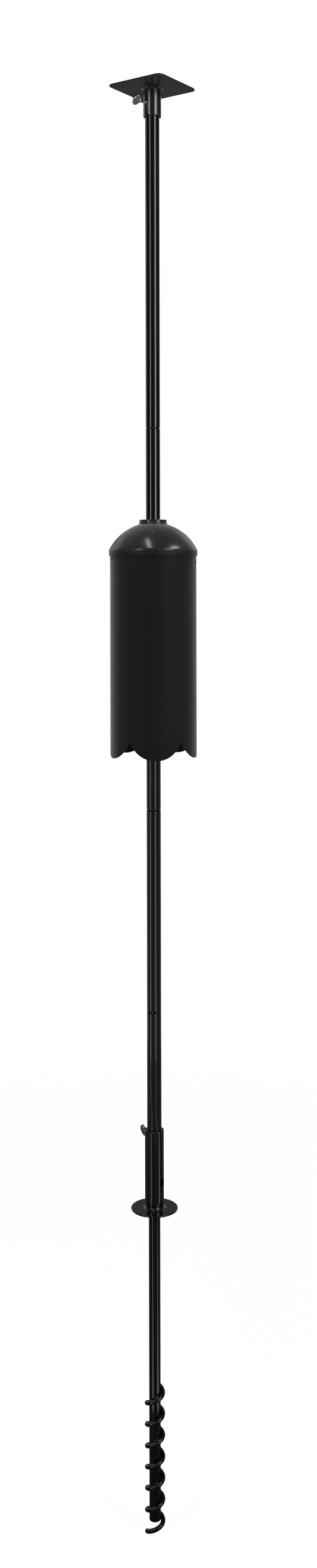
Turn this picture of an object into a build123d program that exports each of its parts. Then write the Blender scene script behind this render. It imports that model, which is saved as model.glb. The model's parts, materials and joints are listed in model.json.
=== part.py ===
from build123d import *
import os
from math import cos, pi, radians, sin, sqrt

# Bird-feeder pole with a ground auger, a floating squirrel baffle and a mounting platform.
# Millimetres. +Z is up along the pole, and the origin is on the pole's axis at ground level,
# on the underside of the step disc. The front is towards -Y. Headings are angles about +Z,
# counted from +X, so the front is at -90 degrees and the right-hand side is at 0.

# ---- Driving sizes: pole ------------------------------------------------------------------
pole_r = 12.7                   # 1 in steel tube
pole_wall = 1.65
spigot_length = 45.0            # necked foot that slips into the section below
spigot_clearance = 0.15         # radial, between a spigot and the bore it slips into
neck_height = 5.4               # rounded shoulder between spigot and full diameter
lower_joint_z = 348.6
middle_joint_z = 706.5
upper_joint_z = 1384.0
tube_edge_break = 0.4           # small chamfer on sawn tube ends
cut_margin = 1.0                # how far a cut runs past the surface that it goes through

# ---- Driving sizes: ground anchor ---------------------------------------------------------
socket_clearance = 0.6          # radial, both sockets slip over the pole
ground_socket_wall = 3.4        # 1 in pipe
ground_socket_top_z = 141.0
disc_r = 41.25
disc_thickness = 3.0
disc_edge_round = 1.0
disc_weld_leg = 4.2
lower_weld_r = 16.6
lower_weld_height = 7.4
weld_gap = 0.1                  # radial, between the shaft and the disc that it is welded to
weld_hollow = 0.42              # share of a weld's legs at which its hollow face lies
shaft_r = 10.15
shaft_wall = 2.6
shaft_top_z = 62.0              # the pole's foot stands on the shaft's upper end
shaft_length_below = 551.5
drain_hole_r = 1.8
drain_hole_z = -16.5
drain_hole_heading = -69.0
bar_hole_r = 6.35               # takes a 12 mm driving bar
bar_hole_drop = 12.0            # below the shaft's upper end
bar_hole_heading = -32.4
spiral_rod_r = 4.0
spiral_pitch = 37.8
spiral_turns = 6.67
spiral_overhang = 20.6          # from the shaft's end down to the rod's lower end
spiral_end_heading = 180.0
spiral_gap = 0.05               # radial, between the rod and the shaft
spiral_bead_r = 3.4
spiral_bead_turns = (0.8, 2.3, 4.3, 6.3)   # turns up from the rod's lower end
seat_gap = 0.1                  # axial, where one piece stands on another

# ---- Driving sizes: platform --------------------------------------------------------------
platform_z = 1989.0             # underside of the plate
plate_side = 114.3
plate_thickness = 3.0
plate_corner_r = 10.0
plate_heading = -80.0           # one corner of the plate points this way
plate_edge_break = 0.6
outer_hole_inset = 14.3         # from the plate's corner, before rounding, along the diagonal
inner_hole_inset = 28.8
plate_hole_r = 2.6
platform_socket_wall = 2.575
platform_socket_length = 50.8
platform_weld_leg = 4.6

# ---- Driving sizes: thumb screws ----------------------------------------------------------
screw_r = 3.15
screw_hole_clearance = 0.05     # radial, thread flanks left out
screw_tip_gap = 0.1
screw_reach = 11.8              # bare shank between socket and head
screw_neck_length = 3.0
screw_neck_r = 3.7              # where the shank flares out into the head
head_length = 15.5
head_width = 21.0
head_thickness = 4.5
head_edge_round = 1.2
platform_screw_drop = 26.5      # below the plate
platform_screw_heading = -139.0
platform_screw_lean = 48.0      # turn of the flat head about its own shank
ground_screw_drop = 12.8        # below the mouth of the ground socket
ground_screw_heading = 122.0
ground_screw_lean = 15.0

# ---- Driving sizes: baffle ----------------------------------------------------------------
collar_z = 1076.0               # underside of the collar, wherever it is clamped
collar_height = 20.0
collar_wall = 11.3
collar_clearance = 0.05         # radial, collar on pole
collar_screw_r = 3.0
collar_screw_length = 10.0
collar_screw_heading = -60.0
hex_socket_r = 1.75
hex_socket_depth = 3.5
spring_length = 103.0
spring_r = 17.0                 # to the middle of the wire
spring_wire_r = 0.9
spring_turns = 9.0
spring_guide_clearance = 0.35   # radial, between the spring and the spigots inside it
collar_guide_height = 8.0
cap_flange_margin = 6.1         # radial, flange past the spring's outside
cap_flange_thickness = 3.0
cap_guide_height = 14.0
sliding_clearance = 0.4         # radial, cap and swivel ring on the pole
swivel_gap = 0.2                # axial, between the cap and the swivel ring
swivel_r = 34.0
swivel_flat_r = 25.0
swivel_height = 9.8
seat_clearance = 0.3            # between the ring's domed top and the inside of the dome
dome_bulge = 8.5                # how much larger the dome's sphere is than its skirt, radially
dome_wall = 2.5
shroud_r = 76.5
shroud_wall = 1.6
shroud_length = 364.0
skirt_clearance = 0.2
skirt_wall = 1.8
skirt_height = 10.0
shroud_seat_gap = 0.3
neck_gap = 9.2                  # radial, between the dome's neck and the pole, so that the baffle can tilt
dome_neck_wall = 2.4
dome_neck_height = 8.0
neck_bead_depth = 0.9           # how far the bead at the neck's foot stands proud
neck_bead_height = 1.6
petal_count = 5
petal_depth = 34.0
petal_heading = -86.6           # middle of the front petal
petal_flat = 4.0                # narrow flat at each petal's lowest point
slot_width = 10.0
slot_height = 12.0
slot_drop = 0.8                 # from the skirt's edge down to the slot
slot_headings = (-13.0, 167.0)
hook_wall = 2.2
hook_clearance = 0.25           # radial, between a hook and the shroud's bore
hook_side_gap = 0.3             # on each side of a hook in its slot
hook_barb_recess = 0.6          # how far a barb stays inside the shroud's surface
hook_barb_margin = 2.0
hook_root_depth = 0.5           # how far a hook's root runs into the dome's wall

# ---- Derived sizes ------------------------------------------------------------------------
spigot_r = pole_r - pole_wall - spigot_clearance
shaft_bottom_z = -shaft_length_below
bottom_joint_z = shaft_top_z + seat_gap + spigot_length
bar_hole_z = shaft_top_z - bar_hole_drop
socket_bore_r = pole_r + socket_clearance
ground_socket_r = socket_bore_r + ground_socket_wall
platform_socket_r = socket_bore_r + platform_socket_wall
outer_hole_r = plate_side / sqrt(2) - outer_hole_inset
inner_hole_r = plate_side / sqrt(2) - inner_hole_inset
pole_top_z = platform_z - seat_gap

collar_r = pole_r + collar_wall
collar_top_z = collar_z + collar_height
cap_z = collar_top_z + spring_length
swivel_z = cap_z + cap_flange_thickness + swivel_gap
guide_r = spring_r - spring_wire_r - spring_guide_clearance
slide_bore_r = pole_r + sliding_clearance
cap_flange_r = spring_r + spring_wire_r + cap_flange_margin

skirt_inner_r = shroud_r + skirt_clearance
skirt_r = skirt_inner_r + skirt_wall
dome_r = skirt_r + dome_bulge
dome_inner_r = dome_r - dome_wall
seat_r = dome_inner_r - seat_clearance
dome_centre_z = swivel_z + swivel_height - sqrt(seat_r**2 - swivel_flat_r**2)
skirt_top_z = dome_centre_z + sqrt(dome_r**2 - skirt_r**2)
skirt_bottom_z = skirt_top_z - skirt_height
shroud_top_z = dome_centre_z + sqrt(dome_inner_r**2 - shroud_r**2) - shroud_seat_gap
petal_tip_z = shroud_top_z - shroud_length
slot_top_z = skirt_bottom_z - slot_drop
neck_bore_r = pole_r + neck_gap
dome_neck_r = neck_bore_r + dome_neck_wall
neck_bead_r = dome_neck_r + neck_bead_depth
neck_base_z = dome_centre_z + sqrt(dome_r**2 - dome_neck_r**2)
neck_top_z = neck_base_z + dome_neck_height


def radial_plane(height, heading):
    """Plane through the pole's axis that faces outwards along a heading, with its y axis up."""
    angle = radians(heading)
    return Plane(
        origin=(0, 0, height),
        x_dir=(-sin(angle), cos(angle), 0),
        z_dir=(cos(angle), sin(angle), 0),
    )


def upright_plane(heading):
    """Plane that holds the pole's axis, with x outwards along a heading and y up."""
    angle = radians(heading)
    return Plane(origin=(0, 0, 0), x_dir=(cos(angle), sin(angle), 0), z_dir=(sin(angle), -cos(angle), 0))


def on_sphere(sphere_r, r):
    """Point of the section at radius r on a sphere about the dome's centre."""
    return (r, dome_centre_z + sqrt(sphere_r**2 - r**2))


def sphere_arc(sphere_r, r_from, r_to):
    """Arc of such a sphere's section between two radii."""
    middle_r = (r_from + r_to) / 2
    return ThreePointArc(
        on_sphere(sphere_r, r_from), on_sphere(sphere_r, middle_r), on_sphere(sphere_r, r_to)
    )


def tube_section(bottom_z, top_z, outer_r, inner_r):
    """Closed section of a plain tube, revolved into the part that is being built."""
    with BuildSketch(Plane.XZ) as section:
        with Locations(((outer_r + inner_r) / 2, (bottom_z + top_z) / 2)):
            Rectangle(outer_r - inner_r, top_z - bottom_z)
        chamfer(section.vertices(), tube_edge_break)
    revolve(section.sketch, axis=Axis.Z)


def cut_radial_hole(height, heading, hole_r, through_r, both=False):
    """Round hole cut outwards from the axis along a heading, or right through."""
    with BuildSketch(radial_plane(height, heading)) as hole:
        Circle(hole_r)
    extrude(hole.sketch, amount=through_r, both=both, mode=Mode.SUBTRACT)


def fillet_weld(inner_r, root_z, leg, towards):
    """Ring of weld in the corner between an upright tube and a flat plate."""
    with BuildPart() as weld:
        with BuildSketch(Plane.XZ):
            with BuildLine():
                foot = (inner_r + leg, root_z)
                crest = (inner_r, root_z + towards * leg)
                hollow = (inner_r + weld_hollow * leg, root_z + towards * weld_hollow * leg)
                Line((inner_r, root_z), foot)
                ThreePointArc(foot, hollow, crest)
                Line(crest, (inner_r, root_z))
            make_face()
        revolve(axis=Axis.Z)
    return weld.part


def pole_section(joint_z, top_z):
    """Length of pole: a tube whose foot is necked down to slip into the section below."""
    neck_top = joint_z + neck_height
    foot_z = joint_z - spigot_length
    with BuildPart() as section:
        with BuildSketch(Plane.XZ):
            with BuildLine():
                Line((spigot_r - pole_wall, foot_z), (spigot_r, foot_z))
                Line((spigot_r, foot_z), (spigot_r, joint_z))
                EllipticalCenterArc(
                    (spigot_r, neck_top), pole_r - spigot_r, neck_height, start_angle=270, arc_size=90
                )
                Line((pole_r, neck_top), (pole_r, top_z))
                Line((pole_r, top_z), (pole_r - pole_wall, top_z))
                Line((pole_r - pole_wall, top_z), (pole_r - pole_wall, neck_top))
                Line((pole_r - pole_wall, neck_top), (spigot_r - pole_wall, joint_z))
                Line((spigot_r - pole_wall, joint_z), (spigot_r - pole_wall, foot_z))
            make_face()
        revolve(axis=Axis.Z)
    return section.part


def thumb_screw(socket_r, height, heading, lean):
    """Spade-headed screw that points out of a socket and whose tip bears on the pole."""
    angle = radians(heading)
    turn = radians(lean)
    outwards = radial_plane(height, heading)
    head_root = socket_r + screw_reach
    head_middle = head_root + head_length / 2
    head_plane = Plane(
        origin=outwards.from_local_coords((0, 0, head_middle)),
        x_dir=(cos(angle), sin(angle), 0),
        z_dir=(-sin(angle) * cos(turn), cos(angle) * cos(turn), -sin(turn)),
    )
    with BuildPart() as screw:
        with BuildSketch(head_plane):
            Ellipse(head_length / 2, head_width / 2)
        extrude(amount=head_thickness / 2, both=True)
        rims = screw.faces().filter_by(head_plane).edges()
        fillet(rims, head_edge_round)
        with BuildSketch(outwards.offset(head_root + screw_neck_length)):
            Circle(screw_neck_r)
        with BuildSketch(outwards.offset(head_root - screw_neck_length / 2)):
            Circle(screw_r)
        loft()
        with BuildSketch(outwards.offset(pole_r + screw_tip_gap)):
            Circle(screw_r)
        extrude(amount=head_root - pole_r - screw_tip_gap)
    return screw.part


def write_node(part, name):
    """Labels a finished piece and writes its STEP file."""
    part.label = name
    export_step(part, f"parts/{name}.step")


os.makedirs("parts", exist_ok=True)

# ---- Ground anchor ------------------------------------------------------------------------

# Pipe that takes the pole's foot, with a hole right through it for the driving bar.
with BuildPart() as ground_socket:
    tube_section(disc_thickness, ground_socket_top_z, ground_socket_r, socket_bore_r)
    cut_radial_hole(bar_hole_z, bar_hole_heading, bar_hole_r, ground_socket_r + cut_margin, both=True)
    cut_radial_hole(
        ground_socket_top_z - ground_screw_drop,
        ground_screw_heading,
        screw_r + screw_hole_clearance,
        ground_socket_r + cut_margin,
    )
write_node(ground_socket.part, "ground_socket")

# Disc that is stepped on and stops the anchor at ground level.
with BuildPart() as step_disc:
    with BuildSketch(Plane.XY):
        Circle(disc_r)
    extrude(amount=disc_thickness)
    fillet(step_disc.edges(), disc_edge_round)
    with BuildSketch(Plane.XY):
        Circle(shaft_r + weld_gap)
    extrude(amount=disc_thickness, mode=Mode.SUBTRACT)
write_node(step_disc.part, "step_disc")

write_node(fillet_weld(ground_socket_r, disc_thickness, disc_weld_leg, 1), "upper_disc_weld")

# Coned weld below the disc that runs down on to the shaft.
with BuildPart() as lower_disc_weld:
    with BuildSketch(Plane.XZ):
        with BuildLine():
            Line((shaft_r, 0), (lower_weld_r, 0))
            Spline(
                (lower_weld_r, 0),
                (shaft_r + weld_hollow * (lower_weld_r - shaft_r), -weld_hollow * lower_weld_height),
                (shaft_r, -lower_weld_height),
            )
            Line((shaft_r, -lower_weld_height), (shaft_r, 0))
        make_face()
    revolve(axis=Axis.Z)
write_node(lower_disc_weld.part, "lower_disc_weld")

# Shaft: its upper end is inside the socket, where the driving bar passes through it too.
with BuildPart() as auger_shaft:
    tube_section(shaft_bottom_z, shaft_top_z, shaft_r, shaft_r - shaft_wall)
    cut_radial_hole(bar_hole_z, bar_hole_heading, bar_hole_r, shaft_r + cut_margin, both=True)
    cut_radial_hole(drain_hole_z, drain_hole_heading, drain_hole_r, shaft_r + cut_margin)
write_node(auger_shaft.part, "auger_shaft")

# Rod wound round the shaft's lower end as a right-handed screw.
spiral_r = shaft_r + spiral_gap + spiral_rod_r
spiral_bottom_z = shaft_bottom_z - spiral_overhang
spiral_angle = radians(spiral_end_heading)
spiral_base = Plane(
    origin=(0, 0, spiral_bottom_z), x_dir=(cos(spiral_angle), sin(spiral_angle), 0), z_dir=(0, 0, 1)
)
with BuildPart() as auger_spiral:
    with BuildLine(spiral_base) as spiral_path:
        Helix(pitch=spiral_pitch, height=spiral_pitch * spiral_turns, radius=spiral_r)
    with BuildSketch(Plane(origin=spiral_path.line @ 0, z_dir=spiral_path.line % 0)):
        Circle(spiral_rod_r)
    sweep(path=spiral_path.line, is_frenet=True)
write_node(auger_spiral.part, "auger_spiral")

# Short beads that hold the rod to the shaft, in the corner above the rod.
with BuildPart() as spiral_welds:
    for turns in spiral_bead_turns:
        bead_angle = spiral_angle + radians(360 * turns)
        bead_r = shaft_r + spiral_bead_r / 2
        bead_z = spiral_bottom_z + spiral_pitch * turns + spiral_rod_r
        with Locations((bead_r * cos(bead_angle), bead_r * sin(bead_angle), bead_z)):
            Sphere(spiral_bead_r)
    with BuildSketch(Plane.XY.offset(shaft_bottom_z)):
        Circle(shaft_r)
    extrude(amount=shaft_length_below, mode=Mode.SUBTRACT)
    add(auger_spiral.part, mode=Mode.SUBTRACT)
write_node(spiral_welds.part, "spiral_welds")

write_node(
    thumb_screw(
        ground_socket_r, ground_socket_top_z - ground_screw_drop, ground_screw_heading, ground_screw_lean
    ),
    "ground_thumb_screw",
)

# ---- Pole ---------------------------------------------------------------------------------

write_node(pole_section(bottom_joint_z, lower_joint_z), "pole_bottom_section")
write_node(pole_section(lower_joint_z, middle_joint_z), "pole_lower_section")
write_node(pole_section(middle_joint_z, upper_joint_z), "pole_upper_section")
write_node(pole_section(upper_joint_z, pole_top_z), "pole_top_section")

# ---- Platform -----------------------------------------------------------------------------

# Square plate with two screw holes on each half diagonal.
with BuildPart() as platform_plate:
    with BuildSketch(Plane.XY.offset(platform_z)):
        RectangleRounded(plate_side, plate_side, plate_corner_r, rotation=plate_heading + 45)
    extrude(amount=plate_thickness)
    chamfer(platform_plate.faces().filter_by(Axis.Z).edges(), plate_edge_break)
    with BuildSketch(Plane.XY.offset(platform_z)):
        with PolarLocations(outer_hole_r, 4, start_angle=plate_heading):
            Circle(plate_hole_r)
        with PolarLocations(inner_hole_r, 4, start_angle=plate_heading):
            Circle(plate_hole_r)
    extrude(amount=plate_thickness, mode=Mode.SUBTRACT)
write_node(platform_plate.part, "platform_plate")

with BuildPart() as platform_socket:
    tube_section(platform_z - platform_socket_length, platform_z, platform_socket_r, socket_bore_r)
    cut_radial_hole(
        platform_z - platform_screw_drop,
        platform_screw_heading,
        screw_r + screw_hole_clearance,
        platform_socket_r + cut_margin,
    )
write_node(platform_socket.part, "platform_socket")

write_node(fillet_weld(platform_socket_r, platform_z, platform_weld_leg, -1), "platform_weld")
write_node(
    thumb_screw(
        platform_socket_r, platform_z - platform_screw_drop, platform_screw_heading, platform_screw_lean
    ),
    "platform_thumb_screw",
)

# ---- Baffle: what carries it on the pole --------------------------------------------------

# Collar with a guide that centres the spring.
with BuildPart() as spring_collar:
    with BuildSketch(Plane.XZ):
        with BuildLine():
            Polyline(
                (pole_r + collar_clearance, collar_z),
                (collar_r, collar_z),
                (collar_r, collar_top_z),
                (guide_r, collar_top_z),
                (guide_r, collar_top_z + collar_guide_height),
                (pole_r + collar_clearance, collar_top_z + collar_guide_height),
                close=True,
            )
        make_face()
    revolve(axis=Axis.Z)
    cut_radial_hole(
        collar_z + collar_height / 2,
        collar_screw_heading,
        collar_screw_r + screw_hole_clearance,
        collar_r + cut_margin,
    )
write_node(spring_collar.part, "spring_collar")

# Hexagon-socket screw in the collar's side.
collar_screw_plane = radial_plane(collar_z + collar_height / 2, collar_screw_heading)
collar_screw_start = pole_r + screw_tip_gap
with BuildPart() as collar_screw:
    with BuildSketch(collar_screw_plane.offset(collar_screw_start)):
        Circle(collar_screw_r)
    extrude(amount=collar_screw_length)
    with BuildSketch(collar_screw_plane.offset(collar_screw_start + collar_screw_length)):
        RegularPolygon(hex_socket_r, 6)
    extrude(amount=-hex_socket_depth, mode=Mode.SUBTRACT)
write_node(collar_screw.part, "collar_screw")

with BuildPart() as baffle_spring:
    with BuildLine(Plane.XY.offset(collar_top_z + spring_wire_r)) as spring_path:
        Helix(
            pitch=(spring_length - 2 * spring_wire_r) / spring_turns,
            height=spring_length - 2 * spring_wire_r,
            radius=spring_r,
        )
    with BuildSketch(Plane(origin=spring_path.line @ 0, z_dir=spring_path.line % 0)):
        Circle(spring_wire_r)
    sweep(path=spring_path.line, is_frenet=True)
write_node(baffle_spring.part, "baffle_spring")

# Cap that slides on the pole, sits on the spring and centres its upper end.
with BuildPart() as spring_cap:
    with BuildSketch(Plane.XZ):
        with BuildLine():
            Polyline(
                (slide_bore_r, cap_z - cap_guide_height),
                (guide_r, cap_z - cap_guide_height),
                (guide_r, cap_z),
                (cap_flange_r, cap_z),
                (cap_flange_r, cap_z + cap_flange_thickness),
                (slide_bore_r, cap_z + cap_flange_thickness),
                close=True,
            )
        make_face()
    revolve(axis=Axis.Z)
write_node(spring_cap.part, "spring_cap")

# Ring whose domed rim carries the baffle, so that the baffle turns and tilts on it.
with BuildPart() as swivel_ring:
    with BuildSketch(Plane.XZ):
        with BuildLine():
            swivel_top_z = swivel_z + swivel_height
            Polyline(
                (swivel_flat_r, swivel_top_z),
                (slide_bore_r, swivel_top_z),
                (slide_bore_r, swivel_z),
                (swivel_r, swivel_z),
                on_sphere(seat_r, swivel_r),
            )
            sphere_arc(seat_r, swivel_r, swivel_flat_r)
        make_face()
    revolve(axis=Axis.Z)
write_node(swivel_ring.part, "swivel_ring")

# ---- Baffle: dome and shroud --------------------------------------------------------------

# Dome with a neck round the pole, a skirt over the shroud and two hooks inside it.
hook_outer_r = shroud_r - shroud_wall - hook_clearance
hook_inner_r = hook_outer_r - hook_wall
hook_root_z = on_sphere(dome_inner_r, hook_inner_r)[1] + hook_root_depth
slot_bottom_z = slot_top_z - slot_height
hook_arc = 360 * (slot_width - 2 * hook_side_gap) / (2 * pi * shroud_r)
with BuildPart() as baffle_dome:
    with BuildSketch(Plane.XZ):
        with BuildLine():
            Polyline(
                on_sphere(dome_inner_r, skirt_inner_r),
                (skirt_inner_r, skirt_bottom_z),
                (skirt_r, skirt_bottom_z),
                on_sphere(dome_r, skirt_r),
            )
            sphere_arc(dome_r, skirt_r, neck_bead_r)
            bead_top_z = neck_base_z + neck_bead_height
            Polyline(
                on_sphere(dome_r, neck_bead_r),
                (neck_bead_r, bead_top_z),
                (dome_neck_r, bead_top_z + neck_bead_depth),
                (dome_neck_r, neck_top_z),
                (neck_bore_r, neck_top_z),
                on_sphere(dome_inner_r, neck_bore_r),
            )
            sphere_arc(dome_inner_r, neck_bore_r, skirt_inner_r)
        make_face()
    revolve(axis=Axis.Z)
    for heading in slot_headings:
        with BuildSketch(upright_plane(heading - hook_arc / 2)) as hook:
            with BuildLine():
                barb_r = shroud_r - hook_barb_recess
                Polyline(
                    (hook_inner_r, hook_root_z),
                    (hook_inner_r, slot_bottom_z),
                    (hook_outer_r, slot_bottom_z),
                    (hook_outer_r, slot_bottom_z + hook_barb_margin),
                    (barb_r, slot_bottom_z + 2 * hook_barb_margin),
                    (barb_r, slot_top_z - hook_barb_margin),
                    (hook_outer_r, slot_top_z - hook_barb_margin),
                    (hook_outer_r, hook_root_z),
                    close=True,
                )
            make_face()
        revolve(hook.sketch, axis=Axis.Z, revolution_arc=hook_arc)
write_node(baffle_dome.part, "baffle_dome")

# Long tube whose lower edge is cut into rounded petals, with a slot for each hook.
petal_half_turn = 180 / petal_count
petal_half_arc = 2 * pi * shroud_r * petal_half_turn / 360
petal_round_r = (petal_half_arc**2 + petal_depth**2) / (2 * petal_depth)
flat_turn = petal_half_turn * (petal_flat / 2) / petal_half_arc


def petal_edge_point(turn):
    """Point of a petal's edge, seen square on to a notch, at an angle from that notch."""
    along = petal_half_arc * (1 - abs(turn) / petal_half_turn)
    height = petal_tip_z + petal_round_r - sqrt(petal_round_r**2 - along**2)
    return (shroud_r * sin(radians(turn)), height)


with BuildPart() as baffle_shroud:
    with BuildSketch(Plane.XY.offset(petal_tip_z)):
        Circle(shroud_r)
        Circle(shroud_r - shroud_wall, mode=Mode.SUBTRACT)
    extrude(amount=shroud_length)
    last_turn = petal_half_turn - flat_turn
    edge_steps = 8
    rise = [petal_edge_point(-last_turn * (1 - i / edge_steps)) for i in range(edge_steps + 1)]
    fall = [petal_edge_point(last_turn * i / edge_steps) for i in range(edge_steps + 1)]
    below_z = petal_tip_z - petal_depth
    for i in range(petal_count):
        notch_heading = petal_heading + petal_half_turn * (2 * i + 1)
        with BuildSketch(radial_plane(0, notch_heading).offset(shroud_r / 2)) as notch:
            with BuildLine():
                Spline(*rise)
                Spline(*fall)
                Polyline(fall[-1], (fall[-1][0], below_z), (rise[0][0], below_z), rise[0])
            make_face()
        extrude(notch.sketch, amount=shroud_r, mode=Mode.SUBTRACT)
    for heading in slot_headings:
        slot_middle_z = slot_top_z - slot_height / 2
        with BuildSketch(radial_plane(slot_middle_z, heading)) as slot:
            Rectangle(slot_width, slot_height)
        extrude(slot.sketch, amount=shroud_r + cut_margin, mode=Mode.SUBTRACT)
write_node(baffle_shroud.part, "baffle_shroud")
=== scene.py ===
"""Looks of a sectional garden pole with ground auger, floating squirrel baffle and platform.

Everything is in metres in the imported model's own frame: +Z up the pole, -Y towards the front, and
the origin on the pole's axis at ground level. The pieces' own sizes are in millimetres. Headings
are angles about +Z, counted from +X; a lamp's azimuth is counted from the front towards +X.
"""

import json
import logging
import math
from dataclasses import dataclass
from enum import Enum
from typing import Union

import bmesh
import bpy
import numpy as np
from bpy.types import ID, Material, NodeSocket, Object, World
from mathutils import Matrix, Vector


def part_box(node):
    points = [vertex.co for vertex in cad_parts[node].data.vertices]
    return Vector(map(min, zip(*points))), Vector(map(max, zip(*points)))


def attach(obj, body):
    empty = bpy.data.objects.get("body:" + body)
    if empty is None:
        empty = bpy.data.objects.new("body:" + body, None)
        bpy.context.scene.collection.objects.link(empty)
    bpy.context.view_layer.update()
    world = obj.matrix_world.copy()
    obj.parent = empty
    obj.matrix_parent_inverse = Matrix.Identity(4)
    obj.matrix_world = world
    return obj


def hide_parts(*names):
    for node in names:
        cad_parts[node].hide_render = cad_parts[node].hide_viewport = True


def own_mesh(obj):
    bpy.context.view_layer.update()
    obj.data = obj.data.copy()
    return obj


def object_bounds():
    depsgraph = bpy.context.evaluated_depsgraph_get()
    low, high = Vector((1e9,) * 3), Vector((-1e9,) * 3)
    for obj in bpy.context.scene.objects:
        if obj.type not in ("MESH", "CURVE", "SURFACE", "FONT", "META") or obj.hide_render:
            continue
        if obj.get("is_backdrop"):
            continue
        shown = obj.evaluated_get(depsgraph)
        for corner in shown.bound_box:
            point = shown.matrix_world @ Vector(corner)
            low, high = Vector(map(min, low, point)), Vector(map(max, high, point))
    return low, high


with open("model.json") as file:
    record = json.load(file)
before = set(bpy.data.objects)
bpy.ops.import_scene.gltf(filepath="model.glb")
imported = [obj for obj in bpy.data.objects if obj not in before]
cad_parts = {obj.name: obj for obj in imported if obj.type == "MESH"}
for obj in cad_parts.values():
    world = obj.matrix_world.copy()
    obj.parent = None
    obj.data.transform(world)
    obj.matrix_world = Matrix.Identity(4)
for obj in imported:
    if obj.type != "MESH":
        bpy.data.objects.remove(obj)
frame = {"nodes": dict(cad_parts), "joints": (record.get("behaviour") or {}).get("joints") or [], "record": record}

log = logging.getLogger("pole")

MM = 0.001
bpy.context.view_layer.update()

Value = Union[float, tuple, "Signal"]

NOISE_ROUGHNESS = 0.55      # share that each octave of noise keeps of the one before
GLOSS_SWING = 0.08          # how far slow noise shifts a roughness
MERGE_DISTANCE = 0.002      # millimetres within which a skin's points are one
SHARP_ANGLE = 32            # degrees from which an edge is rounded off
SCREW_REACH = 11.8          # millimetres of bare shank between a socket and a screw's head


# ---- Shader expressions ----


@dataclass(frozen=True)
class Signal:
    """A shader socket that can stand in a Python expression: each operator adds one Math node."""

    recipe: "Recipe"
    socket: NodeSocket

    def _math(self, operation: str, first: Value, second: Value) -> "Signal":
        """Adds one Math node for an operator and returns its result."""
        return self.recipe.node("ShaderNodeMath", {"operation": operation}, {0: first, 1: second})

    def __add__(self, other: Value) -> "Signal":
        """Sum."""
        return self._math("ADD", self, other)

    def __sub__(self, other: Value) -> "Signal":
        """Difference."""
        return self._math("SUBTRACT", self, other)

    def __rsub__(self, other: Value) -> "Signal":
        """Difference with a number on the left."""
        return self._math("SUBTRACT", other, self)

    def __mul__(self, other: Value) -> "Signal":
        """Product."""
        return self._math("MULTIPLY", self, other)

    __radd__ = __add__
    __rmul__ = __mul__


class Recipe:
    """The nodes of a material or of the world, added one by one."""

    def __init__(self, owner: Union[Material, World]) -> None:
        """Empties the node tree of a new material or world.

        Args:
            owner: The material or the world.
        """
        owner.use_nodes = True
        self.owner = owner
        self.tree = owner.node_tree
        self.tree.nodes.clear()

    def node(
        self, kind: str, settings: dict, inputs: dict, output: Union[int, str] = 0
    ) -> Union[Signal, None]:
        """Adds a node.

        Args:
            kind: The node's type name.
            settings: Properties set before the sockets.
            inputs: Values or signals by socket name or number.
            output: Name or number of the output that is returned.

        Returns:
            The chosen output as a signal, or None for a node that has none.
        """
        made = self.tree.nodes.new(kind)
        for name, value in settings.items():
            setattr(made, name, value)
        for name, value in inputs.items():
            if isinstance(value, Signal):
                self.tree.links.new(value.socket, made.inputs[name])
            else:
                made.inputs[name].default_value = value
        return Signal(self, made.outputs[output]) if made.outputs else None

    def place(self) -> Signal:
        """Object coordinates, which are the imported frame's own."""
        return self.node("ShaderNodeTexCoord", {}, {}, "Object")

    def ray(self, kind: str) -> Signal:
        """1 for a ray of the given kind (Camera, Glossy, Transmission), else 0."""
        return self.node("ShaderNodeLightPath", {}, {}, f"Is {kind} Ray")

    def noise(
        self, at: Signal, scale: float, detail: float, stretch: tuple = (1.0, 1.0, 1.0)
    ) -> Signal:
        """Soft noise between 0 and 1.

        Args:
            at: Coordinates that the noise follows.
            scale: Features per metre.
            detail: Octaves of finer noise.
            stretch: Multipliers of the three axes, under 1 where the noise is drawn out.

        Returns:
            The noise's value.
        """
        drawn = self.node("ShaderNodeMapping", {}, {"Vector": at, "Scale": stretch})
        inputs = {"Vector": drawn, "Scale": scale, "Detail": detail, "Roughness": NOISE_ROUGHNESS}
        return self.node("ShaderNodeTexNoise", {}, inputs, "Fac")

    def band(self, value: Signal, low: float, high: float) -> Signal:
        """Smooth step: 0 where a value is under low, 1 where it is over high."""
        inputs = {"Value": value, "From Min": low, "From Max": high}
        return self.node("ShaderNodeMapRange", {"interpolation_type": "SMOOTHSTEP"}, inputs)

    def blend(self, share: Value, first: Value, second: Value) -> Signal:
        """Mixes two colours by a share."""
        inputs = {0: share, 6: first, 7: second}
        return self.node("ShaderNodeMix", {"data_type": "RGBA"}, inputs, 2)

    def bump(self, height: Signal, depth: float) -> Signal:
        """Surface relief from a height between 0 and 1, where 1 stands for a depth in metres."""
        inputs = {"Height": height, "Distance": depth, "Strength": 1.0}
        return self.node("ShaderNodeBump", {}, inputs)

    def surface(self, inputs: dict) -> Material:
        """Ends a material's recipe with a Principled surface.

        Args:
            inputs: Values or signals of the surface's sockets.

        Returns:
            The finished material.
        """
        shader = self.node("ShaderNodeBsdfPrincipled", {}, inputs)
        self.node("ShaderNodeOutputMaterial", {}, {"Surface": shader})
        return self.owner


def grey(level: float) -> tuple:
    """A neutral colour of one linear level."""
    return (level, level, level, 1.0)


# ---- Finishes ----


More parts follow.
